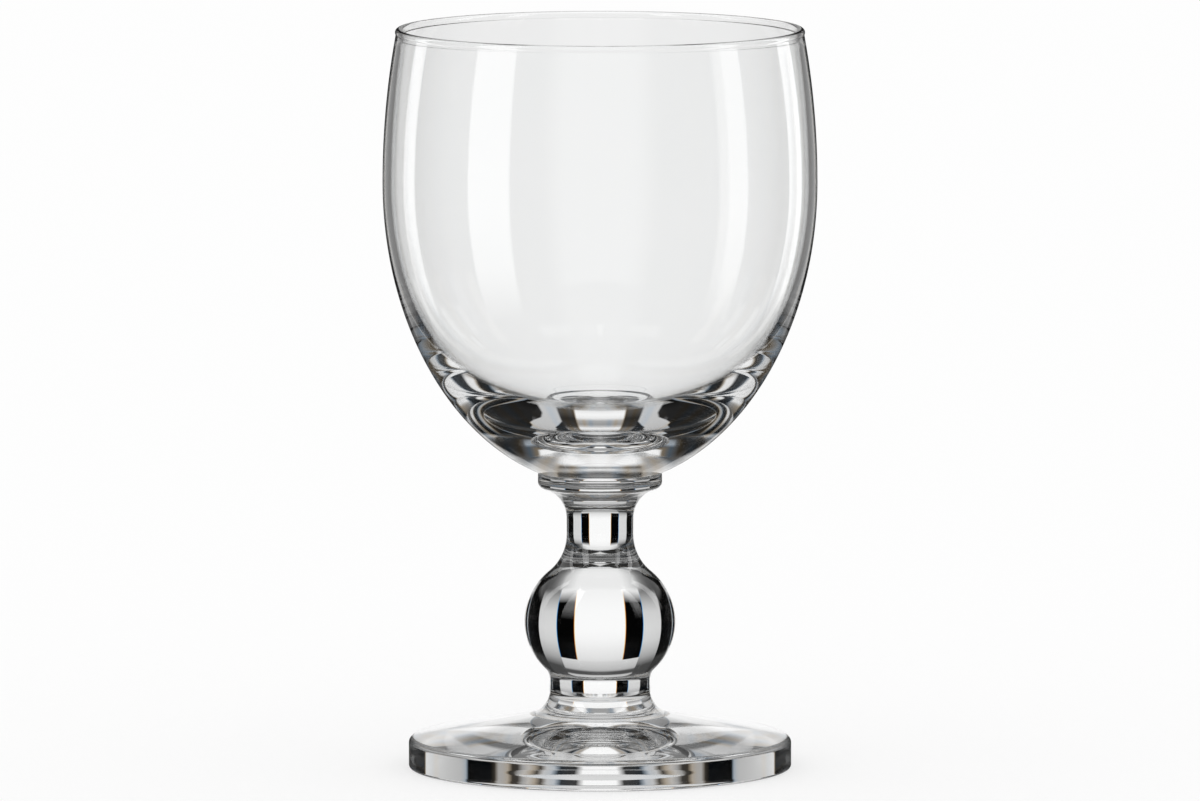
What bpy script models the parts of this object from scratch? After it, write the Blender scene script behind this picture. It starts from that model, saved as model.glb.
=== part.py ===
"""White wine glass on a ball stem, as six separate pieces of clear glass turned about one upright axis.

Units are metres and +Z is up. The glass stands on the plane z = 0, with its axis on the Z axis.
Each profile lists (radius, height) points from the axis, over the top, down the outside, back to the axis.
"""

import math

import bpy

# Whole glass
GLASS_HEIGHT = 0.1420
JOINT_GAP = 0.0003

# Facets: steps round the axis, and how far a straight facet of a profile may stray from its arc
TURN_STEPS = 48
CHORD_ERROR = 0.00003
CAVITY_STEPS = 18

# Bowl: widest a little above its middle, drawn in towards the lip
BOWL_RADIUS = 0.04155
BOWL_WIDEST_HEIGHT = 0.1125
BOWL_LIP_RADIUS = 0.0390
BOWL_LOWER_DEPTH = 0.0581
LIP_THICKNESS = 0.00125

# Inside of the bowl: a wall that thickens downwards into a heavy base with a broad, nearly flat floor
CAVITY_RADIUS = 0.0400
CAVITY_FLOOR_HEIGHT = 0.0664
CAVITY_FLATNESS = 2.8

# Collar under the bowl
COLLAR_TOP = 0.0568
COLLAR_BOTTOM = 0.0537
COLLAR_RADIUS = 0.01187
COLLAR_TOP_ROUNDING = 0.0006
COLLAR_BOTTOM_ROUNDING = 0.00125

# Neck: a slim straight stretch between a flare to the collar and a wider flare to the ball
NECK_RADIUS = 0.00641
NECK_TOP_FLARE = 0.0061
NECK_TOP_FLARE_HEIGHT = 0.0479
NECK_BOTTOM_FLARE = 0.00925

# Ball knop, slightly flattened
BALL_RADIUS = 0.01453
BALL_HALF_HEIGHT = 0.01306
BALL_HEIGHT = 0.0280

# Lower shank between the ball and the foot
SHANK_RADIUS = 0.00963
SHANK_TOP_FILLET = 0.0030
SHANK_JOINT_HEIGHT = 0.01146

# Foot: a disc that rises to the stem, with a small hollow underneath, standing on a broad flat ring
FOOT_RADIUS = 0.03665
FOOT_FLARE = 0.0048
FOOT_FLARE_HEIGHT = 0.01485
FOOT_EDGE_ROUNDING = 0.0012
FOOT_EDGE_TOP_CENTRE = 0.00468
FOOT_LOWER_EDGE_ROUNDING = 0.0005
FOOT_RING_INNER_RADIUS = 0.0120
FOOT_HOLLOW_DEPTH = 0.0004

# Clear glass
GLASS_COLOUR = (0.93, 0.95, 0.95, 1.0)
GLASS_ROUGHNESS = 0.02
GLASS_INDEX = 1.52


def clear_scene():
    for obj in list(bpy.data.objects):
        bpy.data.objects.remove(obj, do_unlink=True)


def arc(centre, radii, start, end):
    """Points of an arc about (radius, height), with angles in radians from the outward direction.

    radii gives the half width and the half height, which are equal on a circle.
    """
    facet_angle = 2 * math.acos(1 - CHORD_ERROR / max(radii))
    steps = max(2, math.ceil(abs(end - start) / facet_angle))
    points = []
    for step in range(steps + 1):
        angle = start + (end - start) * step / steps
        points.append((centre[0] + radii[0] * math.cos(angle), centre[1] + radii[1] * math.sin(angle)))
    return points


def circle_arc(centre, radius, start, end):
    return arc(centre, (radius, radius), start, end)


def shallow_arc(widest_radius, end_radius, start_height, end_height):
    """A circle arc that is upright at its start and reaches end_radius at its end."""
    rise = end_height - start_height
    inset = widest_radius - end_radius
    radius = (rise * rise + inset * inset) / (2 * inset)
    sweep = math.asin(rise / radius)
    return circle_arc((widest_radius - radius, start_height), radius, 0.0, sweep)


def ball_blend(stem_radius, flare):
    """The angles where a concave flare of a stem runs smoothly into the ball.

    Returns the flare's sweep and the ball's own arc angle, found by halving the interval that holds the
    tangent point.
    """
    low, high = 0.0, math.pi / 2
    for _ in range(60):
        ball_angle = (low + high) / 2
        sweep = math.atan(BALL_RADIUS / BALL_HALF_HEIGHT * math.tan(ball_angle))
        if BALL_RADIUS * math.cos(ball_angle) > stem_radius + flare * (1 - math.cos(sweep)):
            low = ball_angle
        else:
            high = ball_angle
    return sweep, ball_angle


# Heights that follow from the driving dimensions
HALF_GAP = JOINT_GAP / 2
NECK_SWEEP, BALL_TOP_ANGLE = ball_blend(NECK_RADIUS, NECK_BOTTOM_FLARE)
BALL_TOP = BALL_HEIGHT + BALL_HALF_HEIGHT * math.sin(BALL_TOP_ANGLE)
NECK_BOTTOM_FLARE_HEIGHT = BALL_TOP + NECK_BOTTOM_FLARE * math.sin(NECK_SWEEP)
SHANK_SWEEP, BALL_BOTTOM_ANGLE = ball_blend(SHANK_RADIUS, SHANK_TOP_FILLET)
BALL_BOTTOM = BALL_HEIGHT - BALL_HALF_HEIGHT * math.sin(BALL_BOTTOM_ANGLE)
SHANK_TOP_FILLET_HEIGHT = BALL_BOTTOM - SHANK_TOP_FILLET * math.sin(SHANK_SWEEP)


def cavity_profile():
    """The inside of the bowl, from the middle of its floor up to the lip.

    Below the widest height it is half an ellipse with a flattened floor: a flatness of 2 is a plain ellipse.
    """
    depth = BOWL_WIDEST_HEIGHT - CAVITY_FLOOR_HEIGHT
    points = []
    for step in range(CAVITY_STEPS + 1):
        angle = math.pi / 2 * step / CAVITY_STEPS
        radius = CAVITY_RADIUS * math.sin(angle) ** (2 / CAVITY_FLATNESS)
        points.append((radius, BOWL_WIDEST_HEIGHT - depth * math.cos(angle)))
    lip_centre_height = GLASS_HEIGHT - LIP_THICKNESS / 2
    wall = shallow_arc(CAVITY_RADIUS, BOWL_LIP_RADIUS - LIP_THICKNESS, BOWL_WIDEST_HEIGHT, lip_centre_height)
    return points + wall[1:]


def bowl_profile():
    lip = LIP_THICKNESS / 2
    lip_centre = (BOWL_LIP_RADIUS - lip, GLASS_HEIGHT - lip)
    lip_round = circle_arc(lip_centre, lip, math.pi, 0.0)
    upper = shallow_arc(BOWL_RADIUS, BOWL_LIP_RADIUS, BOWL_WIDEST_HEIGHT, lip_centre[1])
    bottom = COLLAR_TOP + HALF_GAP
    bottom_angle = -math.asin((BOWL_WIDEST_HEIGHT - bottom) / BOWL_LOWER_DEPTH)
    lower = arc((0.0, BOWL_WIDEST_HEIGHT), (BOWL_RADIUS, BOWL_LOWER_DEPTH), 0.0, bottom_angle)
    outside = lip_round[1:-1] + upper[::-1] + lower[1:]
    return cavity_profile() + outside + [(0.0, bottom)]


def collar_profile():
    top = COLLAR_TOP - HALF_GAP
    bottom = COLLAR_BOTTOM + HALF_GAP
    upper_centre = (COLLAR_RADIUS - COLLAR_TOP_ROUNDING, top - COLLAR_TOP_ROUNDING)
    lower_centre = (COLLAR_RADIUS - COLLAR_BOTTOM_ROUNDING, bottom + COLLAR_BOTTOM_ROUNDING)
    upper_edge = circle_arc(upper_centre, COLLAR_TOP_ROUNDING, math.pi / 2, 0.0)
    lower_edge = circle_arc(lower_centre, COLLAR_BOTTOM_ROUNDING, 0.0, -math.pi / 2)
    return [(0.0, top)] + upper_edge + lower_edge + [(0.0, bottom)]


def neck_profile():
    top = COLLAR_BOTTOM - HALF_GAP
    bottom = BALL_TOP + HALF_GAP
    top_sweep = math.asin((top - NECK_TOP_FLARE_HEIGHT) / NECK_TOP_FLARE)
    top_centre = (NECK_RADIUS + NECK_TOP_FLARE, NECK_TOP_FLARE_HEIGHT)
    top_flare = circle_arc(top_centre, NECK_TOP_FLARE, math.pi - top_sweep, math.pi)
    bottom_sweep = math.asin((NECK_BOTTOM_FLARE_HEIGHT - bottom) / NECK_BOTTOM_FLARE)
    bottom_centre = (NECK_RADIUS + NECK_BOTTOM_FLARE, NECK_BOTTOM_FLARE_HEIGHT)
    bottom_flare = circle_arc(bottom_centre, NECK_BOTTOM_FLARE, math.pi, math.pi + bottom_sweep)
    return [(0.0, top)] + top_flare + bottom_flare + [(0.0, bottom)]


def ball_profile():
    top = BALL_TOP - HALF_GAP
    bottom = BALL_BOTTOM + HALF_GAP
    start = math.asin((top - BALL_HEIGHT) / BALL_HALF_HEIGHT)
    end = math.asin((bottom - BALL_HEIGHT) / BALL_HALF_HEIGHT)
    side = arc((0.0, BALL_HEIGHT), (BALL_RADIUS, BALL_HALF_HEIGHT), start, end)
    return [(0.0, top)] + side + [(0.0, bottom)]


def shank_profile():
    top = BALL_BOTTOM - HALF_GAP
    bottom = SHANK_JOINT_HEIGHT + HALF_GAP
    top_sweep = math.asin((top - SHANK_TOP_FILLET_HEIGHT) / SHANK_TOP_FILLET)
    fillet_centre = (SHANK_RADIUS + SHANK_TOP_FILLET, SHANK_TOP_FILLET_HEIGHT)
    fillet = circle_arc(fillet_centre, SHANK_TOP_FILLET, math.pi - top_sweep, math.pi)
    bottom_sweep = math.asin((FOOT_FLARE_HEIGHT - bottom) / FOOT_FLARE)
    flare_centre = (SHANK_RADIUS + FOOT_FLARE, FOOT_FLARE_HEIGHT)
    flare = circle_arc(flare_centre, FOOT_FLARE, math.pi, math.pi + bottom_sweep)
    return [(0.0, top)] + fillet + flare + [(0.0, bottom)]


def foot_slope():
    """The angle of the upper face, a line that touches the stem's flare and the rounded edge alike."""
    run = FOOT_RADIUS - FOOT_EDGE_ROUNDING - SHANK_RADIUS - FOOT_FLARE
    fall = FOOT_FLARE_HEIGHT - FOOT_EDGE_TOP_CENTRE
    apart = math.hypot(run, fall)
    return math.atan2(fall, run) - math.asin((FOOT_FLARE + FOOT_EDGE_ROUNDING) / apart)


def foot_profile():
    top = SHANK_JOINT_HEIGHT - HALF_GAP
    slope = foot_slope()
    flare_centre = (SHANK_RADIUS + FOOT_FLARE, FOOT_FLARE_HEIGHT)
    start = math.pi + math.asin((FOOT_FLARE_HEIGHT - top) / FOOT_FLARE)
    flare = circle_arc(flare_centre, FOOT_FLARE, start, 1.5 * math.pi - slope)
    upper_centre = (FOOT_RADIUS - FOOT_EDGE_ROUNDING, FOOT_EDGE_TOP_CENTRE)
    upper_edge = circle_arc(upper_centre, FOOT_EDGE_ROUNDING, math.pi / 2 - slope, 0.0)
    lower_centre = (FOOT_RADIUS - FOOT_LOWER_EDGE_ROUNDING, FOOT_LOWER_EDGE_ROUNDING)
    lower_edge = circle_arc(lower_centre, FOOT_LOWER_EDGE_ROUNDING, 0.0, -math.pi / 2)
    hollow_radius = (FOOT_RING_INNER_RADIUS**2 + FOOT_HOLLOW_DEPTH**2) / (2 * FOOT_HOLLOW_DEPTH)
    hollow_sweep = math.asin(FOOT_RING_INNER_RADIUS / hollow_radius)
    hollow = circle_arc(
        (0.0, FOOT_HOLLOW_DEPTH - hollow_radius), hollow_radius, math.pi / 2 - hollow_sweep, math.pi / 2
    )
    return [(0.0, top)] + flare + upper_edge + lower_edge + hollow[:-1] + [(0.0, FOOT_HOLLOW_DEPTH)]


def glass_material(name):
    material = bpy.data.materials.new(name)
    material.use_nodes = True
    shader = material.node_tree.nodes["Principled BSDF"]
    shader.inputs["Base Color"].default_value = GLASS_COLOUR
    shader.inputs["Roughness"].default_value = GLASS_ROUGHNESS
    shader.inputs["Metallic"].default_value = 0.0
    shader.inputs["IOR"].default_value = GLASS_INDEX
    shader.inputs["Transmission Weight"].default_value = 1.0
    material.diffuse_color = GLASS_COLOUR
    return material


def turned_piece(name, profile, collection):
    """A solid of clear glass, made by turning a profile about the Z axis."""
    mesh = bpy.data.meshes.new(name)
    points = [(radius, 0.0, height) for radius, height in profile]
    edges = [(index, index + 1) for index in range(len(points) - 1)]
    mesh.from_pydata(points, edges, [])
    mesh.materials.append(glass_material(name + "_glass"))
    obj = bpy.data.objects.new(name, mesh)
    collection.objects.link(obj)
    turn = obj.modifiers.new("turn", "SCREW")
    turn.axis = "Z"
    turn.steps = TURN_STEPS
    turn.render_steps = TURN_STEPS
    turn.use_merge_vertices = True
    turn.merge_threshold = 0.00001
    turn.use_smooth_shade = True
    # The flat joint faces keep their own normals, so the round sides beside them shade smoothly.
    obj.modifiers.new("flat_faces", "WEIGHTED_NORMAL")
    return obj


def build_glass():
    collection = bpy.data.collections.new("white_wine_glass")
    bpy.context.scene.collection.children.link(collection)
    profiles = {
        "bowl": bowl_profile(),
        "collar": collar_profile(),
        "neck": neck_profile(),
        "ball_knop": ball_profile(),
        "lower_shank": shank_profile(),
        "foot": foot_profile(),
    }
    for name, profile in profiles.items():
        turned_piece(name, profile, collection)


clear_scene()
build_glass()
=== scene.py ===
# %% [markdown]
# # A white wine glass on a ball stem
#
# A stemmed glass like this one is six gathers or pressings of clear glass, fused hot: the thin bowl,
# the collar under it, the slim neck, the solid ball, the short shank and the foot. This lesson draws
# half a section of each piece, turns it about the upright axis, and then builds the studio that makes
# clear glass readable: glass has no colour of its own, so all that shows is what it bends and mirrors.

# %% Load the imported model
import math

import bmesh
import bpy
from mathutils import Matrix, Vector


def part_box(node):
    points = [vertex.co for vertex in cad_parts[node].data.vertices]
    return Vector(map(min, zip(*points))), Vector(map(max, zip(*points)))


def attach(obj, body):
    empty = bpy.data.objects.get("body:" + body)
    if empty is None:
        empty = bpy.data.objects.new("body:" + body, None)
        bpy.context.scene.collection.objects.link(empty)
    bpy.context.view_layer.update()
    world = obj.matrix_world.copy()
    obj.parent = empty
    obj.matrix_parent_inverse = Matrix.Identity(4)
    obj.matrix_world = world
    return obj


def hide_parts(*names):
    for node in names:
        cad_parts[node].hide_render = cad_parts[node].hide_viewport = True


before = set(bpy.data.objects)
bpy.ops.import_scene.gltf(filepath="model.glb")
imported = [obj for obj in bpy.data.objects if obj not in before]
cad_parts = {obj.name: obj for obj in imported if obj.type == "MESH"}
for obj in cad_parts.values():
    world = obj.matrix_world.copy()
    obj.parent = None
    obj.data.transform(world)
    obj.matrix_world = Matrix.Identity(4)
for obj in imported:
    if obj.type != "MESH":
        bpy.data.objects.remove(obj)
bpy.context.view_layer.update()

print("pieces in the packed model:", ", ".join(sorted(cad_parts)))

# %% [markdown]
# ## Where one piece ends and the next begins
#
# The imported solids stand 0.3 mm apart, so that each is a body of its own. Fused glass has no such gap.
# A gap would also mirror the light inside the stem, so each joint plane goes midway between the two
# solids, and the pieces meet there edge to edge. Nothing grows: the outside stays where the solids are.

# %% Joint heights and the sizes read from the solids
def low(node):
    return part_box(node)[0].z


def high(node):
    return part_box(node)[1].z


def widest(node):
    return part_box(node)[1].x


def joint_height(upper, lower):
    return (low(upper) + high(lower)) / 2


BOWL_JOINT = joint_height("bowl", "collar")
COLLAR_JOINT = joint_height("collar", "neck")
BALL_TOP = joint_height("neck", "ball_knop")
BALL_BOTTOM = joint_height("ball_knop", "lower_shank")
SHANK_JOINT = joint_height("lower_shank", "foot")
for title, height in (("bowl on collar", BOWL_JOINT), ("collar on neck", COLLAR_JOINT),
                      ("neck on ball", BALL_TOP), ("ball on shank", BALL_BOTTOM),
                      ("shank on foot", SHANK_JOINT)):
    print(f"joint of {title}: {height * 1000:.2f} mm up")

# %% [markdown]
# ## A pen for half sections
#
# A turned piece is known by half its section. The pen below starts as one vertex and draws in the XZ
# plane: a straight stretch is an extruded vertex, and an arc is the pen's tip spun about a centre. The
# spin operator makes an exact circle, so the arcs run into each other as smoothly as a lathe tool's cut.
# An ellipse is a circle drawn in stretched space and then squashed back. A long straight stretch can get
# several points, which crowd towards its ends, so that smooth shading keeps the middle flat.

# %% The pen
FINE_STEP = math.radians(1.5)
EDGE_STEP = math.radians(3.0)
SMALL_EDGE = 0.002
FEWEST_STEPS = 12


class Section:
    """Half a section of a piece, drawn as one line. Radius is X and height is Z."""

    def __init__(self, radius, height):
        self.mesh = bmesh.new()
        self.tip = self.mesh.verts.new((radius, 0.0, height))

    def line(self, radius, height, steps=1):
        start = self.tip.co.copy()
        end = Vector((radius, 0.0, height))
        for step in range(1, steps + 1):
            self.tip = bmesh.ops.extrude_vert_indiv(self.mesh, verts=[self.tip])["verts"][0]
            self.tip.co = start.lerp(end, (1 - math.cos(math.pi * step / steps)) / 2)
        return self

    def arc(self, radius, height, turn, squash=1.0):
        """Swings the tip about a centre. A positive turn goes from the top outwards and down."""
        centre = Vector((radius, 0.0, height))
        drawn = [self.tip]
        self.tip.co.z = height + (self.tip.co.z - height) / squash
        reach = (self.tip.co - centre).length
        step = EDGE_STEP if reach < SMALL_EDGE else FINE_STEP
        steps = max(FEWEST_STEPS, math.ceil(abs(turn) / step))
        before = set(self.mesh.verts)
        spun = bmesh.ops.spin(self.mesh, geom=[self.tip], cent=centre, axis=(0.0, 1.0, 0.0),
                              angle=turn, steps=steps)
        drawn += [v for v in self.mesh.verts if v not in before]
        self.tip = [v for v in spun["geom_last"] if isinstance(v, bmesh.types.BMVert)][0]
        bmesh.ops.scale(self.mesh, vec=(1.0, 1.0, squash), space=Matrix.Translation(-centre), verts=drawn)
        return self


print("pen ready: one step of an arc is", round(math.degrees(FINE_STEP), 1), "degrees")

# %% [markdown]
# ## Turning a section into a piece
#
# One full spin about Z makes the surface. The points on the axis come out as many vertices in one place,
# so doubles are merged, and then the normals are turned to face outwards. The flat faces of a fused joint
# are inside the finished glass, where nothing can be seen: they get a second material, and their
# rims are marked sharp so that they don't bend the shading of the round side next to them. So are all
# creases of more than 25 degrees, such as those beside the lip.

# %% The lathe
TURN_STEPS = 200
MERGE_REACH = 1e-6
JOINT_FLAT = 1e-6
CREASE = math.radians(25.0)


def turn(name, section, joints):
    """A closed piece of glass from its section. joints are the heights of its fused faces."""
    bm = section.mesh
    bmesh.ops.spin(bm, geom=bm.verts[:] + bm.edges[:], cent=(0.0, 0.0, 0.0), axis=(0.0, 0.0, 1.0),
                   angle=math.tau, steps=TURN_STEPS, use_merge=True)
    bmesh.ops.remove_doubles(bm, verts=bm.verts[:], dist=MERGE_REACH)
    bmesh.ops.recalc_face_normals(bm, faces=bm.faces[:])
    for face in bm.faces:
        face.smooth = True
        flat = [all(abs(v.co.z - height) < JOINT_FLAT for v in face.verts) for height in joints]
        face.material_index = 1 if any(flat) else 0
    for edge in bm.edges:
        one_surface = len({face.material_index for face in edge.link_faces}) == 1
        edge.smooth = one_surface and edge.calc_face_angle(0.0) < CREASE
    mesh = bpy.data.meshes.new(name)
    bm.to_mesh(mesh)
    open_edges = sum(1 for edge in bm.edges if len(edge.link_faces) != 2)
    bm.free()
    piece = bpy.data.objects.new(name, mesh)
    bpy.context.scene.collection.objects.link(piece)
    print(f"{name}: {len(mesh.polygons)} faces, {open_edges} open edges")
    return piece


# %% [markdown]
# ## The bowl
#
# The bowl is widest a little above its middle and draws in towards a rounded, fire-polished lip. Its
# wall is thin at the top and thickens downwards into a heavy base, which acts as a lens. The outside is
# half an ellipse below the widest height and a shallow arc above it. The inside is half an ellipse too,
# with its floor flattened by a power of the sine, so it is drawn point by point. The fire rolls the lip
# into a bead a little thicker than the wall, with a crease where the two meet.

# %% Bowl section
BOWL_RADIUS = widest("bowl")
BOWL_TOP = high("bowl")
BOWL_WIDEST = 0.1125
BOWL_LOWER_DEPTH = 0.0581
LIP_RADIUS = 0.0390
LIP_THICKNESS = 0.00125
BEAD_RADIUS = 0.00076
CAVITY_RADIUS = 0.0400
CAVITY_FLOOR = 0.0664
CAVITY_FLATNESS = 2.8
CAVITY_STEPS = 96


def drawn_in(widest_radius, end_radius, rise):
    """The radius and sweep of an arc that starts upright and draws in to end_radius."""
    inset = widest_radius - end_radius
    reach = (rise * rise + inset * inset) / (2 * inset)
    return reach, math.asin(rise / reach)


lip = LIP_THICKNESS / 2
bead_turn = math.acos(lip / BEAD_RADIUS)
bead_height = BOWL_TOP - BEAD_RADIUS
wall_top = bead_height - BEAD_RADIUS * math.sin(bead_turn)
bowl = Section(0.0, CAVITY_FLOOR)
for step in range(1, CAVITY_STEPS + 1):
    angle = math.pi / 2 * step / CAVITY_STEPS
    bowl.line(CAVITY_RADIUS * math.sin(angle) ** (2 / CAVITY_FLATNESS),
              BOWL_WIDEST - (BOWL_WIDEST - CAVITY_FLOOR) * math.cos(angle))
reach, sweep = drawn_in(CAVITY_RADIUS, LIP_RADIUS - LIP_THICKNESS, wall_top - BOWL_WIDEST)
bowl.arc(CAVITY_RADIUS - reach, BOWL_WIDEST, -sweep)
bowl.arc(LIP_RADIUS - lip, bead_height, math.pi + 2 * bead_turn)
reach, sweep = drawn_in(BOWL_RADIUS, LIP_RADIUS, wall_top - BOWL_WIDEST)
bowl.arc(BOWL_RADIUS - reach, BOWL_WIDEST, sweep)
bowl.arc(0.0, BOWL_WIDEST, math.asin((BOWL_WIDEST - BOWL_JOINT) / BOWL_LOWER_DEPTH),
         squash=BOWL_LOWER_DEPTH / BOWL_RADIUS)
bowl.line(0.0, BOWL_JOINT)
bowl_piece = turn("clear_bowl", bowl, [BOWL_JOINT])

# %% [markdown]
# ## The collar
#
# A flat button of glass joins the bowl to the stem and keeps the heat of the stem's fusing away from the
# bowl. Its upper edge is tight and its lower edge is softer, as the gob settled while it was hot. Two
# spun edges on a straight side are enough.

# %% Collar section
COLLAR_RADIUS = widest("collar")
COLLAR_TOP_EDGE = 0.0006
COLLAR_LOWER_EDGE = 0.00125

collar = Section(0.0, BOWL_JOINT)
collar.line(COLLAR_RADIUS - COLLAR_TOP_EDGE, BOWL_JOINT)
collar.arc(COLLAR_RADIUS - COLLAR_TOP_EDGE, BOWL_JOINT - COLLAR_TOP_EDGE, math.pi / 2)
collar.line(COLLAR_RADIUS, COLLAR_JOINT + COLLAR_LOWER_EDGE, steps=8)
collar.arc(COLLAR_RADIUS - COLLAR_LOWER_EDGE, COLLAR_JOINT + COLLAR_LOWER_EDGE, math.pi / 2)
collar.line(0.0, COLLAR_JOINT)
collar_piece = turn("stem_collar", collar, [BOWL_JOINT, COLLAR_JOINT])

# %% [markdown]
# ## The neck
#
# The stem is drawn from hot glass, so it is slimmest in the middle and flares at both ends. The lower
# flare has to leave the ball without a crease. The ball gives the radius at the joint, and the flare's
# centre follows from that: it lies where its circle passes through the joint.

# %% Neck section
BALL_RADIUS = widest("ball_knop")
BALL_HALF_HEIGHT = 0.01306
BALL_HEIGHT = 0.0280
NECK_RADIUS = 0.00641
NECK_TOP_FLARE = 0.0061
NECK_TOP_FLARE_HEIGHT = 0.0479
NECK_BOTTOM_FLARE = 0.00925


def ball_angle(height):
    return math.asin((height - BALL_HEIGHT) / BALL_HALF_HEIGHT)


def flare_sweep(stem_radius, flare, height):
    """How far a flare turns between the straight stem and the ball's surface at this height."""
    ball_side = BALL_RADIUS * math.cos(ball_angle(height))
    return math.acos(1 - (ball_side - stem_radius) / flare)


top_sweep = math.asin((COLLAR_JOINT - NECK_TOP_FLARE_HEIGHT) / NECK_TOP_FLARE)
bottom_sweep = flare_sweep(NECK_RADIUS, NECK_BOTTOM_FLARE, BALL_TOP)
bottom_flare_height = BALL_TOP + NECK_BOTTOM_FLARE * math.sin(bottom_sweep)
neck = Section(0.0, COLLAR_JOINT)
neck.line(NECK_RADIUS + NECK_TOP_FLARE * (1 - math.cos(top_sweep)), COLLAR_JOINT)
neck.arc(NECK_RADIUS + NECK_TOP_FLARE, NECK_TOP_FLARE_HEIGHT, -top_sweep)
neck.line(NECK_RADIUS, bottom_flare_height, steps=10)
neck.arc(NECK_RADIUS + NECK_BOTTOM_FLARE, bottom_flare_height, -bottom_sweep)
neck.line(0.0, BALL_TOP)
neck_piece = turn("stem_neck", neck, [COLLAR_JOINT, BALL_TOP])

# %% [markdown]
# ## The ball
#
# The knop is a solid gather, pressed a little flatter than a true ball. It is the strongest lens of the
# glass, so its surface has to be an exact ellipse: any flat spot would show as a kink in the bars of
# light inside it. The spun arc is drawn as a circle and squashed, so it has no flat spot.

# %% Ball section
start = ball_angle(BALL_TOP)
end = ball_angle(BALL_BOTTOM)
ball = Section(0.0, BALL_TOP)
ball.line(BALL_RADIUS * math.cos(start), BALL_TOP)
ball.arc(0.0, BALL_HEIGHT, start - end, squash=BALL_HALF_HEIGHT / BALL_RADIUS)
ball.line(0.0, BALL_BOTTOM)
ball_piece = turn("stem_ball", ball, [BALL_TOP, BALL_BOTTOM])

# %% [markdown]
# ## The lower shank
#
# A short, stout waist carries the ball on the foot. It has a tight fillet under the ball and the first
# part of the wide flare that sinks into the foot. Both are spun about their own centres, as on the neck.

# %% Shank section
SHANK_RADIUS = 0.00963
SHANK_FILLET = 0.0030
FOOT_FLARE = 0.0048
FOOT_FLARE_HEIGHT = 0.01485

fillet_sweep = flare_sweep(SHANK_RADIUS, SHANK_FILLET, BALL_BOTTOM)
fillet_height = BALL_BOTTOM - SHANK_FILLET * math.sin(fillet_sweep)
shank_sweep = math.asin((FOOT_FLARE_HEIGHT - SHANK_JOINT) / FOOT_FLARE)
shank = Section(0.0, BALL_BOTTOM)
shank.line(SHANK_RADIUS + SHANK_FILLET * (1 - math.cos(fillet_sweep)), BALL_BOTTOM)
shank.arc(SHANK_RADIUS + SHANK_FILLET, fillet_height, -fillet_sweep)
shank.line(SHANK_RADIUS, FOOT_FLARE_HEIGHT, steps=8)
shank.arc(SHANK_RADIUS + FOOT_FLARE, FOOT_FLARE_HEIGHT, -shank_sweep)
shank.line(0.0, SHANK_JOINT)
shank_piece = turn("stem_shank", shank, [BALL_BOTTOM, SHANK_JOINT])

# %% [markdown]
# ## The foot
#
# The foot is a disc that rises to the stem in a shallow cone, with a soft upper edge and a crisp lower
# one. A small hollow under its middle leaves a broad flat ring, so that it stands without rocking. The
# cone's line touches both the flare of the stem and the rounding of the edge. Its slope is the angle
# between their centres, less the turn that the two radii take up.

# %% Foot section
FOOT_RADIUS = widest("foot")
FOOT_EDGE = 0.0012
FOOT_EDGE_TOP = 0.00468
FOOT_LOWER_EDGE = 0.0005
FOOT_RING_INNER = 0.0120
FOOT_HOLLOW = 0.0004

run = FOOT_RADIUS - FOOT_EDGE - SHANK_RADIUS - FOOT_FLARE
fall = FOOT_FLARE_HEIGHT - FOOT_EDGE_TOP
slope = math.atan2(fall, run) - math.asin((FOOT_FLARE + FOOT_EDGE) / math.hypot(run, fall))
foot = Section(0.0, SHANK_JOINT)
foot.line(SHANK_RADIUS + FOOT_FLARE * (1 - math.cos(shank_sweep)), SHANK_JOINT)
foot.arc(SHANK_RADIUS + FOOT_FLARE, FOOT_FLARE_HEIGHT, shank_sweep + slope - math.pi / 2)
edge_centre = FOOT_RADIUS - FOOT_EDGE
foot.line(edge_centre + FOOT_EDGE * math.sin(slope), FOOT_EDGE_TOP + FOOT_EDGE * math.cos(slope), steps=16)
foot.arc(edge_centre, FOOT_EDGE_TOP, math.pi / 2 - slope)
foot.line(FOOT_RADIUS, FOOT_LOWER_EDGE, steps=10)
foot.arc(FOOT_RADIUS - FOOT_LOWER_EDGE, FOOT_LOWER_EDGE, math.pi / 2)
foot.line(FOOT_RING_INNER, 0.0, steps=16)
hollow = (FOOT_RING_INNER**2 + FOOT_HOLLOW**2) / (2 * FOOT_HOLLOW)
foot.arc(0.0, FOOT_HOLLOW - hollow, -math.asin(FOOT_RING_INNER / hollow))
foot_piece = turn("stem_foot", foot, [SHANK_JOINT])
print(f"the foot's cone falls at {math.degrees(slope):.1f} degrees")

# %% [markdown]
# ## Clear glass
#
# The glass is colourless and fire-polished. Its index goes straight on the shader. Hot-worked glass is
# never quite true, so a slow noise ripples the surface by about a thousandth of a millimetre and tints it
# very faintly. A second, finer noise varies the polish.

# %% Glass material
GLASS_INDEX = 1.52


def node(tree, kind, **inputs):
    made = tree.nodes.new(kind)
    for name, value in inputs.items():
        made.inputs[name.replace("_", " ")].default_value = value
    return made


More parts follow.
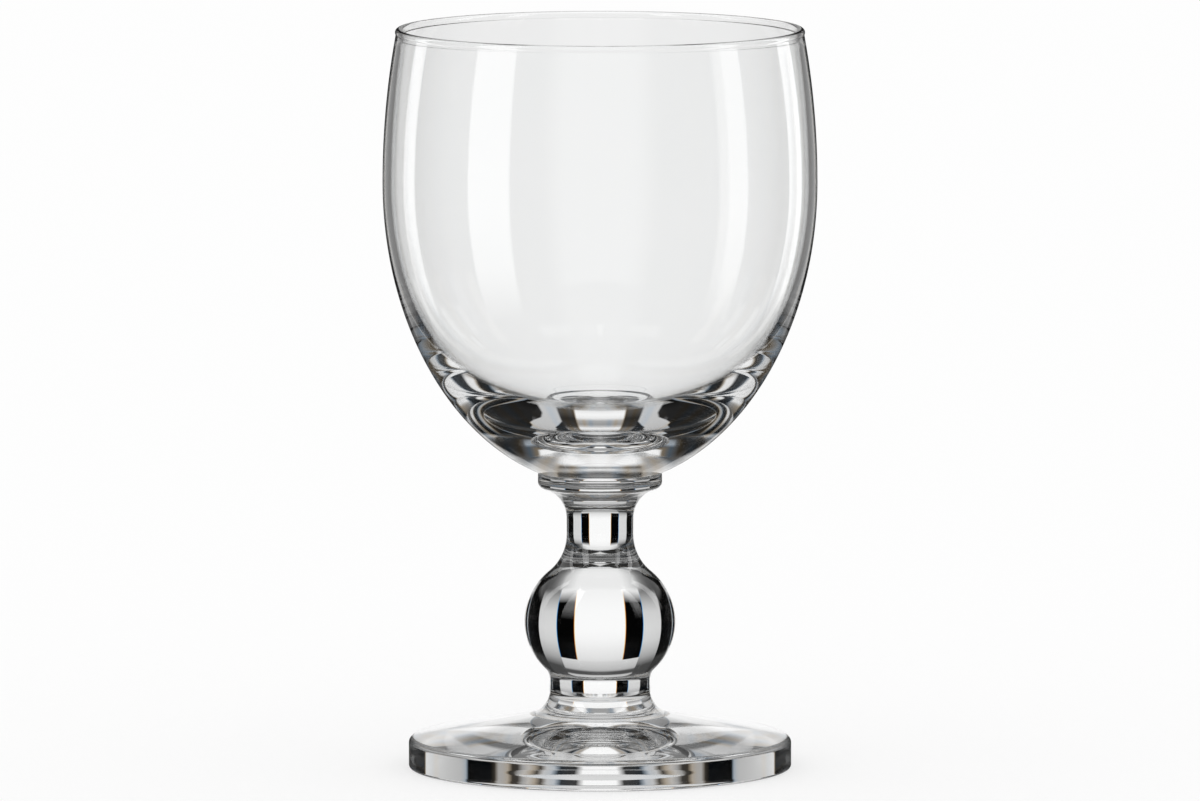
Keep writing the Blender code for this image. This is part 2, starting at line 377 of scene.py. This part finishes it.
glass = bpy.data.materials.new("clear_glass")
glass.use_nodes = True
tree = glass.node_tree
shader = tree.nodes["Principled BSDF"]
shader.inputs["IOR"].default_value = GLASS_INDEX
shader.inputs["Transmission Weight"].default_value = 1.0
place = node(tree, "ShaderNodeTexCoord")
ripple = node(tree, "ShaderNodeTexNoise", Scale=60.0, Detail=1.0)
bump = node(tree, "ShaderNodeBump", Strength=0.06, Distance=0.00002)
polish = node(tree, "ShaderNodeTexNoise", Scale=400.0, Detail=3.0)
rough = node(tree, "ShaderNodeMapRange", To_Min=0.0, To_Max=0.006)
tint = node(tree, "ShaderNodeValToRGB")
tint.color_ramp.elements[0].color = (0.985, 0.992, 0.990, 1.0)
tint.color_ramp.elements[1].color = (1.0, 1.0, 1.0, 1.0)
wire = tree.links.new
wire(place.outputs["Object"], ripple.inputs["Vector"])
wire(place.outputs["Object"], polish.inputs["Vector"])
wire(ripple.outputs["Fac"], bump.inputs["Height"])
wire(bump.outputs["Normal"], shader.inputs["Normal"])
wire(polish.outputs["Fac"], rough.inputs["Value"])
wire(rough.outputs["Result"], shader.inputs["Roughness"])
wire(ripple.outputs["Fac"], tint.inputs["Fac"])
wire(tint.outputs["Color"], shader.inputs["Base Color"])
print("glass index", GLASS_INDEX)

# %% [markdown]
# ## Fused joints
#
# Where two pieces are fused, the glass runs on without a surface. The joint faces stay in the meshes, so
# that each piece is a closed solid, and their material lets everything through.

# %% Joint material and the pieces' places
joint = bpy.data.materials.new("fused_joint")
joint.use_nodes = True
clear = joint.node_tree.nodes["Principled BSDF"]
clear.inputs["Base Color"].default_value = (1.0, 1.0, 1.0, 1.0)
clear.inputs["Alpha"].default_value = 0.0

pieces = {"bowl": bowl_piece, "collar": collar_piece, "neck": neck_piece,
          "ball_knop": ball_piece, "lower_shank": shank_piece, "foot": foot_piece}
for name, piece in pieces.items():
    piece.data.materials.append(glass)
    piece.data.materials.append(joint)
    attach(piece, "root")
    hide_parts(name)
print(len(pieces), "pieces ride on the one body")

# %% [markdown]
# ## Floor
#
# The glass stands on a white sweep. The floor's own colour is nearly white, and camera rays see it mixed
# with plain white, so that it stays pale while the glass still leaves a soft shadow on it.

# %% Floor
FLOOR_DROP = 0.0001
FLOOR_RADIUS = 12.0
WHITE_SHARE = 0.6

floor_mesh = bpy.data.meshes.new("floor")
bm = bmesh.new()
bmesh.ops.create_circle(bm, cap_ends=True, segments=96, radius=FLOOR_RADIUS)
bmesh.ops.translate(bm, vec=(0.0, 0.0, -FLOOR_DROP), verts=bm.verts[:])
bm.to_mesh(floor_mesh)
bm.free()
floor = bpy.data.objects.new("floor", floor_mesh)
bpy.context.scene.collection.objects.link(floor)
paper = bpy.data.materials.new("white_sweep")
paper.use_nodes = True
tree = paper.node_tree
tree.nodes.clear()
rays = node(tree, "ShaderNodeLightPath")
share = node(tree, "ShaderNodeMath")
share.operation = "MULTIPLY"
share.inputs[1].default_value = WHITE_SHARE
seen = node(tree, "ShaderNodeMath")
seen.operation = "SUBTRACT"
seen.inputs[0].default_value = 1.0
matte = node(tree, "ShaderNodeBsdfDiffuse", Color=(0.97, 0.97, 0.97, 1.0))
white = node(tree, "ShaderNodeEmission", Color=(1.0, 1.0, 1.0, 1.0), Strength=1.0)
mix = node(tree, "ShaderNodeMixShader")
out = node(tree, "ShaderNodeOutputMaterial")
wire = tree.links.new
wire(rays.outputs["Is Diffuse Ray"], seen.inputs[1])
wire(seen.outputs[0], share.inputs[0])
wire(share.outputs[0], mix.inputs[0])
wire(matte.outputs[0], mix.inputs[1])
wire(white.outputs[0], mix.inputs[2])
wire(mix.outputs[0], out.inputs["Surface"])
floor_mesh.materials.append(paper)
floor.visible_glossy = False
floor.visible_transmission = False
print("floor laid", FLOOR_DROP * 1000, "mm under the foot")

# %% [markdown]
# ## The light tent and the far screen
#
# Glass shows only what stands round it, so a photographer builds a tent of white panels, black cards and
# soft boxes close about it. The bowl mirrors the boxes as upright streaks, and the foot and the heavy base
# show the panels. The tent here is an upright drum with a small round stand in the middle. A wider drum
# round it is the far screen, whose cards draw the dark bars in the stem. Only rays that have touched glass
# can see these three, so they throw no light on the floor.

# %% Tent, stand and screen
TENT_RADIUS = 0.095
TENT_LOW = -0.030
TENT_HIGH = 0.270
STAND_RADIUS = 0.060
STAND_DROP = 0.00005
SCREEN_RADIUS = 0.300
SCREEN_LOW = -0.600
SCREEN_HIGH = 0.600


def stage_piece(name, bm):
    mesh = bpy.data.meshes.new(name)
    bm.to_mesh(mesh)
    bm.free()
    piece = bpy.data.objects.new(name, mesh)
    bpy.context.scene.collection.objects.link(piece)
    return piece


def drum(name, radius, bottom, top):
    bm = bmesh.new()
    bmesh.ops.create_cone(bm, cap_ends=True, segments=256, radius1=radius, radius2=radius,
                          depth=top - bottom)
    bmesh.ops.translate(bm, vec=(0.0, 0.0, (top + bottom) / 2), verts=bm.verts[:])
    return stage_piece(name, bm)


tent = drum("light_tent", TENT_RADIUS, TENT_LOW, TENT_HIGH)
bm = bmesh.new()
bmesh.ops.create_circle(bm, cap_ends=True, segments=128, radius=STAND_RADIUS)
bmesh.ops.translate(bm, vec=(0.0, 0.0, -STAND_DROP), verts=bm.verts[:])
stand = stage_piece("stand", bm)
screen = drum("far_screen", SCREEN_RADIUS, SCREEN_LOW, SCREEN_HIGH)
for piece in (tent, stand, screen):
    piece.visible_camera = False
    piece.visible_diffuse = False
    piece.visible_shadow = False
    print(f"{piece.name}: {piece.dimensions.x * 1000:.0f} mm across")

# %% [markdown]
# ## Tools to paint the cards
#
# A painted card is worked out from numbers. Each tool adds a few nodes to the material at hand: one sum,
# a ramp of brightness along a value, a soft edge, a strip with soft edges, or a blend of two brightnesses.

# %% Painting tools
def new_paint(name):
    paint = bpy.data.materials.new(name)
    paint.use_nodes = True
    paint.node_tree.nodes.clear()
    return paint


def sum_of(operation, first, second=None, clamp=False):
    """One sum in the material: the operation, and its one or two values."""
    made = tree.nodes.new("ShaderNodeMath")
    made.operation = operation
    made.use_clamp = clamp
    for slot, value in enumerate((first, second)):
        if value is None:
            continue
        if isinstance(value, (int, float)):
            made.inputs[slot].default_value = value
        else:
            wire(value, made.inputs[slot])
    return made.outputs[0]


def times(first, second):
    return sum_of("MULTIPLY", first, second)


def rest_of(share):
    return sum_of("SUBTRACT", 1.0, share)


def ramp(value, full, stops):
    """Brightness or colour along a value: stops are (place, level), joined by straight lines."""
    made = tree.nodes.new("ShaderNodeValToRGB")
    elements = made.color_ramp.elements
    while len(elements) < len(stops):
        elements.new(0.5)
    for element, (place, level) in zip(elements, stops):
        element.position = place / full
        colour = level if isinstance(level, tuple) else (level, level, level)
        element.color = (*colour, 1.0)
    wire(sum_of("DIVIDE", value, full), made.inputs["Fac"])
    return made.outputs["Color"]


def past(value, edge, soft):
    """0 before the edge and 1 after it."""
    return sum_of("ADD", sum_of("DIVIDE", sum_of("SUBTRACT", value, edge), soft), 0.5, clamp=True)


def band(value, start, end, soft):
    return sum_of("SUBTRACT", past(value, start, soft), past(value, end, soft), clamp=True)


def blend(factor, first, second):
    """The first brightness where the factor is 0 and the second where it is 1."""
    return sum_of("ADD", first, times(factor, sum_of("SUBTRACT", second, first)))


print("painting tools ready")

# %% [markdown]
# ## Places on the cards
#
# A place is given by its angle from the middle of the back, in degrees, and by its height. Most cards
# stand on all four sides, so that the glass is clear from each of them. A side is painted once, and the
# angle is folded so that the picture repeats. Between the sides are dark corners, which show in the glass
# when it is seen from a corner.

# %% Places
HALF_TURN = 180.0
QUARTER_TURN = 90.0
BACK_HALF = 41.2
SIDE_HALF = 26.0


def where():
    """The angle to the right of the back's middle in degrees, the height, and the way from the axis."""
    place = node(tree, "ShaderNodeTexCoord")
    parts = node(tree, "ShaderNodeSeparateXYZ")
    wire(place.outputs["Object"], parts.inputs[0])
    x, y, height = parts.outputs
    angle = times(sum_of("ARCTAN2", x, y), HALF_TURN / math.pi)
    squares = sum_of("ADD", times(x, x), times(y, y))
    return angle, height, sum_of("SQRT", squares)


def fold(angle):
    """The angle from the middle of the nearest side, 0 to 45."""
    quarter = sum_of("MODULO", sum_of("ADD", angle, QUARTER_TURN / 2), QUARTER_TURN)
    return sum_of("ABSOLUTE", sum_of("SUBTRACT", quarter, QUARTER_TURN / 2))


def in_corner(angle):
    """1 in the dark corners between the four sides, and 0 elsewhere."""
    from_side = sum_of("ABSOLUTE", sum_of("SUBTRACT", angle, QUARTER_TURN))
    return band(from_side, SIDE_HALF, QUARTER_TURN - BACK_HALF, 0.6)


def swing(angle, stops):
    """Brightness or colour by angle: stops are (degrees, level)."""
    return ramp(angle, HALF_TURN, stops)


def climb(bottom, top, stops):
    """Brightness by height: stops are (height, level), between the bottom and the top."""
    raised = [(height - bottom, level) for height, level in stops]
    return ramp(sum_of("SUBTRACT", z, bottom), top - bottom, raised)


def finish_paint(brightness, see_through):
    """Glows with the brightness, and lets through the rays that see_through is 1 for."""
    glow = node(tree, "ShaderNodeEmission", Strength=1.0)
    open_air = node(tree, "ShaderNodeBsdfTransparent")
    mix = node(tree, "ShaderNodeMixShader")
    out = node(tree, "ShaderNodeOutputMaterial")
    wire(brightness, glow.inputs["Color"])
    wire(see_through, mix.inputs[0])
    wire(glow.outputs[0], mix.inputs[1])
    wire(open_air.outputs[0], mix.inputs[2])
    wire(mix.outputs[0], out.inputs["Surface"])


print("the back and the front are", 2 * BACK_HALF, "degrees wide, the other sides", 2 * SIDE_HALF)

# %% [markdown]
# ## Panels on the far screen
#
# Light that only passes through solid glass, as in the ball, the neck and the shank, sees the far screen.
# On each side a white panel hangs in the middle, brightest near the height of the table, with a greyer
# panel to its left and right. Low on the screen they run into each other. The ball turns this picture
# upside down and shows it whole.

# %% Screen panels
screen_paint = new_paint("screen_cards")
tree = screen_paint.node_tree
wire = tree.links.new
right, z = where()[:2]
away = sum_of("ABSOLUTE", right)
aside = fold(away)


def up_screen(stops):
    return climb(SCREEN_LOW, SCREEN_HIGH, stops)


CARD_START = 12.9
CARD_END = 24.0
white_panel = up_screen([(-0.140, 0.93), (-0.075, 1.00), (-0.030, 1.04), (0.020, 1.04), (0.045, 1.00),
                         (0.075, 0.90), (0.105, 0.82), (0.119, 0.77), (0.126, 0.68), (0.170, 0.50),
                         (0.182, 0.08), (0.203, 0.08), (0.212, 0.60), (0.260, 0.60)])
grey_panel = up_screen([(-0.140, 0.08), (-0.110, 0.18), (-0.090, 0.32), (-0.060, 0.52), (-0.030, 0.69),
                        (0.020, 0.74), (0.060, 0.69), (0.090, 0.56), (0.120, 0.42), (0.150, 0.20),
                        (0.170, 0.07)])
low_panel = swing(aside, [(14.0, 0.90), (20.0, 0.72), (24.0, 0.58), (27.0, 0.28), (31.0, 0.13),
                          (36.0, 0.04), (42.0, 0.01)])
panels = blend(past(aside, CARD_END, 0.4), white_panel, grey_panel)
panels = blend(past(z, -0.112, 0.020), low_panel, panels)
gloom = times(past(z, 0.140, 0.020), 0.04)
panels = blend(in_corner(away), panels, gloom)
print("panels hung with", len(tree.nodes), "nodes")

# %% [markdown]
# ## Black cards and their fringes
#
# A black card covers each edge of the white panel. Glass bends blue light a little more than red, so the
# cards' edges show a thin blue or orange fringe: each of the three colours gets its own card, shifted by
# a fraction of a degree. Rays that cross both walls of the bowl look past the screen at the white room,
# except those that the shank sends down through the foot.

# %% Screen cards
CARD_TOP = 0.121
COLOUR_SHIFT = 0.15
FOOT_RAYS_BELOW = 0.170

passes = node(tree, "ShaderNodeLightPath").outputs["Transmission Depth"]
down = times(z, -1.0)
card_height = times(past(z, -0.086, 0.050), past(down, -CARD_TOP, 0.002))
fringes = []
for shift in (COLOUR_SHIFT, 0.0, -COLOUR_SHIFT):
    card = times(band(aside, CARD_START + shift, CARD_END + shift, 0.5), card_height)
    fringes.append(times(panels, rest_of(card)))
through_foot = swing(away, [(15.0, 1.0), (17.0, 0.02), (27.0, 0.02), (29.0, 0.30), (36.0, 0.65),
                            (46.0, 0.70), (48.0, 0.25), (58.0, 0.25), (60.0, 0.01)])
far_down = past(down, FOOT_RAYS_BELOW, 0.002)
crossed_bowl = sum_of("GREATER_THAN", passes, 3.5)
colour = tree.nodes.new("ShaderNodeCombineColor")
for slot, fringe in zip(colour.inputs, fringes):
    wire(blend(crossed_bowl, fringe, through_foot), slot)
finish_paint(colour.outputs[0], times(crossed_bowl, rest_of(far_down)))
screen.data.materials.append(screen_paint)
print("screen painted with", len(tree.nodes), "nodes")

# %% [markdown]
# ## Which rays see what on the tent
#
# The light path counts how often a ray has gone through a face of glass and how often it was mirrored.
# Light that was never inside sees the soft boxes. Light that was mirrored inside, as in the foot and the
# bowl's heavy base, sees the tent's panels. Light that only passed through goes on to the screen.

# %% Ray kinds
tent_paint = new_paint("tent_cards")
tree = tent_paint.node_tree
wire = tree.links.new
right, z, out_from_axis = where()
left = times(right, -1.0)
away = sum_of("ABSOLUTE", right)
aside = fold(away)
lit_side = rest_of(in_corner(away))
rays = node(tree, "ShaderNodeLightPath")
passes = rays.outputs["Transmission Depth"]
mirrors = rays.outputs["Glossy Depth"]
entered = sum_of("GREATER_THAN", passes, 0.5)
crossed_bowl = sum_of("GREATER_THAN", passes, 3.5)
mirrored = sum_of("GREATER_THAN", mirrors, 0.5)
mirrored_thrice = sum_of("GREATER_THAN", mirrors, 2.5)
mirrored_often = sum_of("GREATER_THAN", mirrors, 3.5)
straight_through = times(entered, rest_of(mirrored))


def by_height(stops):
    return climb(TENT_LOW, TENT_HIGH, stops)


def by_angle(stops):
    return swing(away, stops)


def on_sides(stops):
    return times(swing(aside, stops), lit_side)


print("rays told apart with", len(tree.nodes), "nodes")

# %% [markdown]
# ## Light mirrored once or twice
#
# The flat underside of the foot mirrors the low part of the tent into its side wall: windows of light
# between black bars. Higher bands follow, one of them with the thin level lines that the collar shows.
# The front stays black there, because the ball mirrors it into its own dark ends.

# %% Mirrored once or twice
BLACK_CARD = 0.03

rim_view = on_sides([(1.6, 1.0), (2.0, 0.03), (3.6, 0.03), (4.0, 0.55), (5.2, 0.55), (5.5, 0.05), (6.1, 0.05),
                     (6.4, 0.50), (7.6, 0.50), (8.0, 0.04), (9.4, 0.04), (9.8, 0.40), (11.4, 0.40),
                     (12.0, 0.0), (17.9, 0.0), (18.3, 0.48), (24.0, 0.58), (30.0, 0.70), (36.9, 0.88),
                     (37.5, 0.0)])
over_rim = on_sides([(4.0, 0.36), (5.5, 0.85), (9.0, 0.85), (10.5, 0.22), (16.0, 0.35), (17.5, 0.08),
                     (20.0, 0.08), (22.0, 0.62), (36.0, 0.62), (38.0, 0.05)])
middle_view = on_sides([(4.0, 0.30), (6.0, 0.06), (8.0, 0.06), (9.5, 0.45), (15.0, 0.50), (17.5, 0.05),
                        (20.0, 0.05), (22.0, 0.50), (36.0, 0.50), (38.0, 0.03)])
high_view = on_sides([(9.0, 1.0), (11.0, 0.40), (15.0, 0.40), (17.0, 0.04), (20.0, 0.04), (24.0, 0.45),
                      (37.0, 0.50), (45.0, 0.03)])
collar_lines = by_height([(0.0600, 0.20), (0.0622, 0.14), (0.0627, 0.04), (0.0633, 0.08), (0.0638, 0.45),
                          (0.0643, 0.90), (0.0662, 0.75), (0.0672, 0.35), (0.0690, 0.35), (0.0705, 0.90)])
collar_lines = times(collar_lines, by_angle([(2.5, 1.05), (5.0, 0.70), (8.0, 0.45)]))
middle_view = blend(past(away, 9.3, 0.6), collar_lines, middle_view)
above_rim = past(z, 0.018, 0.003)
once_view = blend(above_rim, rim_view, over_rim)
once_view = blend(past(z, 0.050, 0.004), once_view, middle_view)
once_view = blend(times(past(away, 135.0, 4.0), above_rim), once_view, BLACK_CARD)
high_view = blend(past(away, 50.0, 2.0), high_view, BLACK_CARD)
once_view = blend(past(z, 0.070, 0.004), once_view, high_view)
print("views of the foot and the collar painted")

# %% [markdown]
# ## Light mirrored three times
#
# Light that is mirrored three times meets a bright strip on each side of the back, which moves outwards
# and dims higher up. At the front it meets a panel that is black in its lower part and light above.

# %% Mirrored three times
low_strip = by_angle([(16.0, 0.50), (18.5, 0.12), (21.5, 0.18), (23.5, 1.0), (28.0, 1.0), (29.5, 0.20),
                      (34.0, 0.10), (37.0, 0.03), (46.0, 0.03), (55.0, 0.30), (140.0, 0.20), (155.0, 0.15)])
high_strip = by_angle([(27.0, 0.12), (29.5, 0.20), (31.0, 0.45), (33.5, 0.45), (35.0, 0.10), (38.0, 0.02),
                       (50.0, 0.02), (60.0, 0.20), (150.0, 0.10)])
thrice_view = blend(past(z, 0.055, 0.010), low_strip, high_strip)
front_panel = by_height([(0.018, 0.30), (0.020, 0.03), (0.076, 0.03), (0.084, 0.90), (0.120, 0.90),
                         (0.130, 0.20)])
thrice_view = blend(past(away, 140.0, 4.0), thrice_view, front_panel)
print("strips painted")

# %% [markdown]
# ## Light mirrored again and again
#
# Light that is mirrored again and again before it gets out makes the softer greys of the foot's upper face.
# The floor of the bowl mirrors the upper part of the tent. There the light strips lean outwards, and black
# lies between them, so the base shows dark patches, bright seams and, towards its sides, folds of light
# and dark.

# %% Mirrored often
def lean(stops):
    """An edge that leans outwards with height: stops are (height, angle)."""
    return times(by_height([(height, angle / 100) for height, angle in stops]), 100.0)


foot_top = by_angle([(16.0, 0.30), (22.0, 0.68), (29.0, 0.62), (34.0, 0.25), (40.0, 0.30), (45.0, 0.55),
                     (75.0, 0.50), (100.0, 0.50), (112.0, 0.25), (125.0, 0.50), (140.0, 0.15), (150.0, 0.60),
                     (160.0, 0.25), (172.0, 0.65)])
dim_back = times(past(z, 0.028, 0.006), rest_of(past(away, 32.0, 4.0)))
foot_top = times(foot_top, rest_of(times(dim_back, 0.75)))
middle = by_height([(0.055, 0.40), (0.064, 0.90), (0.070, 1.0), (0.078, 0.88), (0.085, 0.42), (0.096, 0.33),
                    (0.104, 0.55), (0.113, 0.98), (0.122, 0.85), (0.135, 0.50), (0.150, 0.20)])
dark_bar = by_height([(0.060, 0.10), (0.080, 0.02), (0.105, 0.04), (0.116, 0.20)])
folds = by_angle([(45.0, 0.01), (50.0, 0.02), (52.0, 0.35), (54.0, 0.35), (56.0, 0.02), (61.0, 0.02),
                  (63.0, 0.65), (66.5, 0.65), (68.0, 0.03), (74.0, 0.03), (77.0, 0.75), (89.0, 0.75),
                  (92.0, 0.05), (97.0, 0.05), (100.0, 0.55), (106.0, 0.55), (110.0, 0.05), (125.0, 0.25),
                  (150.0, 0.10)])
folds = times(folds, by_height([(0.050, 0.20), (0.064, 0.50), (0.075, 1.35)]))
strip_start = lean([(0.090, 15.2), (0.105, 17.8), (0.115, 20.0), (0.127, 20.5), (0.140, 23.0)])
strip_end = lean([(0.075, 21.0), (0.085, 22.5), (0.095, 26.5), (0.105, 29.5), (0.115, 30.0), (0.142, 36.0)])
seam_start = lean([(0.070, 33.0), (0.085, 37.5), (0.095, 42.0), (0.105, 50.0), (0.115, 52.0)])
strip = times(band(away, strip_start, strip_end, 0.8), 0.58)
seam = times(band(sum_of("SUBTRACT", away, seam_start), 0.0, 4.5, 1.0), 0.30)
dark_side = blend(past(away, 15.2, 0.8), dark_bar, folds)
base_view = sum_of("ADD", blend(past(away, 9.2, 0.8), middle, dark_side), sum_of("ADD", strip, seam))
often_view = blend(past(z, 0.048, 0.006), foot_top, base_view)
print("views of the heavy base painted,", len(tree.nodes), "nodes so far")

# %% [markdown]
# ## Soft boxes and the back panel
#
# Two soft boxes stand on each side. The bowl's outside mirrors them as a thin and a broad upright streak.
# They fade out near the table. The foot's upper face and the outermost edges of the glass mirror the
# panels at the back.

# %% Soft boxes
left_boxes = swing(left, [(74.0, 0.0), (75.0, 2.6), (85.0, 2.6), (86.0, 0.0), (120.5, 0.0), (121.5, 3.2),
                          (141.0, 3.2), (142.0, 0.0)])
right_boxes = swing(right, [(68.0, 0.0), (69.0, 2.6), (81.5, 2.6), (82.5, 0.0), (111.5, 0.0),
                            (112.5, 3.0), (122.0, 3.0), (123.0, 1.8), (126.5, 1.5), (128.5, 0.0)])
fade = by_height([(0.045, 0.0), (0.060, 0.40), (0.075, 0.80), (0.100, 1.0)])
boxes = times(sum_of("ADD", left_boxes, right_boxes), fade)
low_back = times(by_angle([(25.5, 1.0), (29.5, 0.0)]),
                 by_height([(0.020, 1.0), (0.031, 1.0), (0.037, 0.50), (0.044, 0.05), (0.060, 0.03)]))
high_back = times(by_angle([(24.0, 0.50), (26.0, 0.03), (41.0, 0.03), (44.0, 0.75), (74.0, 0.75),
                            (75.0, 0.0)]),
                  by_height([(0.135, 1.0), (0.220, 0.1)]))
outside_view = sum_of("ADD", blend(past(z, 0.065, 0.010), low_back, high_back), boxes)
print("soft boxes hung")

# %% [markdown]
# ## The finished tent
#
# The views are joined by what the ray has done. Then come the wall below the stand's height, the stand's
# own top and the dim lid. Last, the upper wall is white for rays that pass through one side of the lip only.

# %% Join the views
LID_GREY = 0.08
LIP_WHITE = 0.92
LIP_STRIP = 0.115
NEAR = 0.010

far_wall = by_angle([(6.0, 0.60), (10.0, 0.15), (16.0, 0.10), (19.0, 0.70), (28.0, 0.75), (33.0, 0.20),
                     (50.0, 0.10), (75.0, 0.03), (140.0, 0.05), (155.0, 0.75)])
mirror_view = blend(mirrored_often, blend(mirrored_thrice, once_view, thrice_view), often_view)
inside_view = blend(crossed_bowl, mirror_view, far_wall)
wall = blend(entered, outside_view, inside_view)
under_stand = by_angle([(10.0, 0.25), (14.0, 0.60), (20.0, 0.60), (26.0, 0.30), (37.0, 0.02)])
wall = blend(past(z, -0.004, 0.001), under_stand, wall)
stand_top = by_angle([(14.0, 0.70), (20.0, 0.55), (27.0, 0.20), (34.0, 0.03), (120.0, 0.03), (170.0, 0.20)])
on_stand = times(sum_of("LESS_THAN", out_from_axis, STAND_RADIUS + NEAR), band(z, -NEAR, NEAR, 0.001))
shown = blend(on_stand, wall, stand_top)
shown = blend(past(z, TENT_HIGH - 0.001, 0.001), shown, LID_GREY)
one_wall = times(straight_through, rest_of(crossed_bowl))
over_lip = times(one_wall, past(z, LIP_STRIP, 0.002))
shown = blend(over_lip, shown, LIP_WHITE)
print("views joined with", len(tree.nodes), "nodes")

# %% [markdown]
# ## Tinted gels
#
# Thick glass spreads colours, so the edges of light inside it are blue on one side and amber on the other.
# The renderer bends all colours alike, so narrow gels on the tent stand in for that. They fade out where
# the tent is bright, so the white panels stay white. A Mix node keeps its two colours in the sockets
# numbered below.

# %% Gels on the tent
AMBER = (1.0, 0.74, 0.42)
BLUE = (0.50, 0.74, 1.0)
PLAIN = (1.0, 1.0, 1.0)
MIX_FIRST = 6
MIX_SECOND = 7
MIX_RESULT = 2

mirror_angle = times(away, times(entered, mirrored))
gels = swing(mirror_angle, [(2.4, PLAIN), (3.8, BLUE), (5.0, PLAIN), (6.3, AMBER), (7.6, PLAIN),
                            (9.7, AMBER), (11.0, PLAIN), (12.5, AMBER), (15.0, PLAIN), (18.0, BLUE),
                            (19.5, PLAIN), (28.0, PLAIN), (30.0, AMBER), (33.0, BLUE), (35.5, PLAIN),
                            (37.3, AMBER), (43.0, BLUE), (50.0, AMBER), (56.0, BLUE), (63.0, AMBER),
                            (67.0, PLAIN), (73.0, BLUE), (78.0, PLAIN), (90.0, AMBER), (98.0, BLUE),
                            (106.0, PLAIN), (112.0, AMBER), (130.0, BLUE), (145.0, PLAIN)])
paler = tree.nodes.new("ShaderNodeMix")
paler.data_type = "RGBA"
paler.inputs[MIX_SECOND].default_value = (*PLAIN, 1.0)
wire(sum_of("MULTIPLY", shown, 1.2, clamp=True), paler.inputs["Factor"])
wire(gels, paler.inputs[MIX_FIRST])
tinted = tree.nodes.new("ShaderNodeVectorMath")
tinted.operation = "MULTIPLY"
wire(shown, tinted.inputs[0])
wire(paler.outputs[MIX_RESULT], tinted.inputs[1])
finish_paint(tinted.outputs[0], sum_of("SUBTRACT", straight_through, over_lip))
for piece in (tent, stand):
    piece.data.materials.append(tent_paint)
print("tent painted with", len(tree.nodes), "nodes")

# %% [markdown]
# ## The room
#
# Outside the tent there is plain white light from all sides.

# %% World
world = bpy.data.worlds.new("room")
bpy.context.scene.world = world
world.use_nodes = True
tree = world.node_tree
tree.nodes.clear()
wire = tree.links.new
light = node(tree, "ShaderNodeBackground", Color=(1.0, 1.0, 1.0, 1.0), Strength=1.0)
out = node(tree, "ShaderNodeOutputWorld")
wire(light.outputs[0], out.inputs["Surface"])
print("room lit")

# %% [markdown]
# ## Camera and light paths
#
# The picture was taken from a little above, with a long lens from about three metres, so the rim and the
# foot show as flat ellipses. A ray can cross many faces inside thick glass before it leaves, so
# the limits on bounces go up: a ray that is cut short would come back black.

# %% Camera
LENS = 488.2
CAMERA_PLACE = (0.0, -3.094, 0.4136)
CAMERA_DIP = 6.327
MOST_BOUNCES = 40

camera_data = bpy.data.cameras.new("camera")
camera_data.lens = LENS
camera_data.sensor_width = 36.0
camera_data.clip_end = 100.0
camera = bpy.data.objects.new("camera", camera_data)
camera.location = CAMERA_PLACE
camera.rotation_euler = (math.radians(90.0 - CAMERA_DIP), 0.0, 0.0)
bpy.context.scene.collection.objects.link(camera)
bpy.context.scene.camera = camera
bpy.context.scene.view_settings.view_transform = "Standard"
cycles = bpy.context.scene.cycles
cycles.max_bounces = MOST_BOUNCES
cycles.glossy_bounces = MOST_BOUNCES
cycles.transmission_bounces = MOST_BOUNCES
cycles.transparent_max_bounces = 64
print("denoising", cycles.use_denoising, "filter glossy", cycles.blur_glossy)
